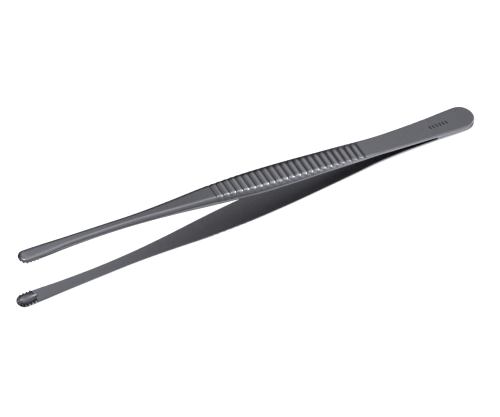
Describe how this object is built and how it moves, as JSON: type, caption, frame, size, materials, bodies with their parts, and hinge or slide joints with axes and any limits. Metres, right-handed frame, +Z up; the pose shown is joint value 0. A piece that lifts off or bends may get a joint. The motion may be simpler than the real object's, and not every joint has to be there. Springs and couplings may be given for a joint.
{
  "type": "toothed spring tweezers",
  "caption": "Long stainless steel spring tweezers with two sprung blades welded at a round heel, ridged finger grips, slim shanks and round cupped toothed jaws.",
  "frame": {"origin": "centre of the bounding box at the base, in the plane the tool lies on", "axes": "+X along the blades from the toothed jaws to the welded heel, +Y across the blades, +Z up, the way the upper blade opens away from the lower one"},
  "size_m": [0.2004, 0.0114, 0.0326],
  "materials": {
    "steel": "fine satin stainless steel",
    "weld": "ground weld seam"
  },
  "bodies": {
    "heel": {"upper_heel_leaf": "steel", "lower_heel_leaf": "steel", "heel_weld": "weld"},
    "upper_arm": {"upper_spring_leaf": "steel", "upper_grip": "steel", "upper_shank": "steel", "upper_jaw": "steel"},
    "lower_arm": {"lower_spring_leaf": "steel", "lower_grip": "steel", "lower_shank": "steel", "lower_jaw": "steel"}
  },
  "joints": [
    {"name": "lower_blade_flex", "type": "hinge", "parent": "heel", "child": "lower_arm", "pos_m": [0.06411, 0, 0.00254], "axis": [0, 1, 0], "range_deg": [0, 4.34], "stiffness_Nm_per_rad": 5},
    {"name": "upper_blade_flex", "type": "hinge", "parent": "heel", "child": "upper_arm", "pos_m": [0.06442, 0, 0.0061], "axis": [0, -1, 0], "range_deg": [0, 4.34], "stiffness_Nm_per_rad": 5}
  ],
  "couplings": [
    {"joint": "upper_blade_flex", "follows": "lower_blade_flex", "ratio": 1}
  ]
}
